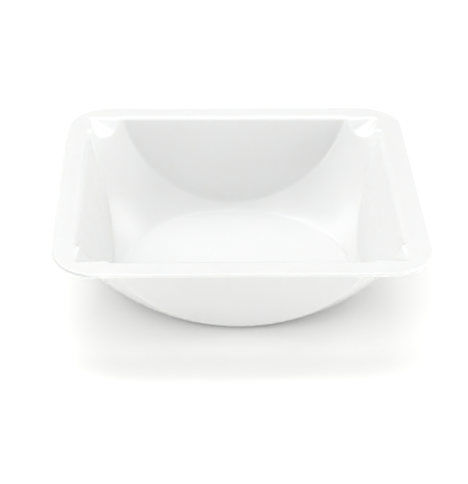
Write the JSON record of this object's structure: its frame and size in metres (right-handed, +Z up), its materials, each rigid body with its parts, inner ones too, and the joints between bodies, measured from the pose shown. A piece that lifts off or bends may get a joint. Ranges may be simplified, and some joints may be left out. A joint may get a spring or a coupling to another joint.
{
  "type": "weighing boat",
  "caption": "Square white plastic weighing boat with a flat rim, a round flat base, sloping walls and a flared pouring groove in each corner, for weighing and tipping out small samples.",
  "frame": {"origin": "centre of the underside of the flat base", "axes": "+Z up out of the open dish; X and Y run along the straight sides of the square rim"},
  "size_m": [0.0888, 0.0888, 0.0238],
  "materials": {
    "white_polystyrene": "thin white polystyrene sheet, smooth and half glossy, lets some light through"
  },
  "bodies": {
    "root": {"boat": "white_polystyrene"}
  },
  "joints": []
}
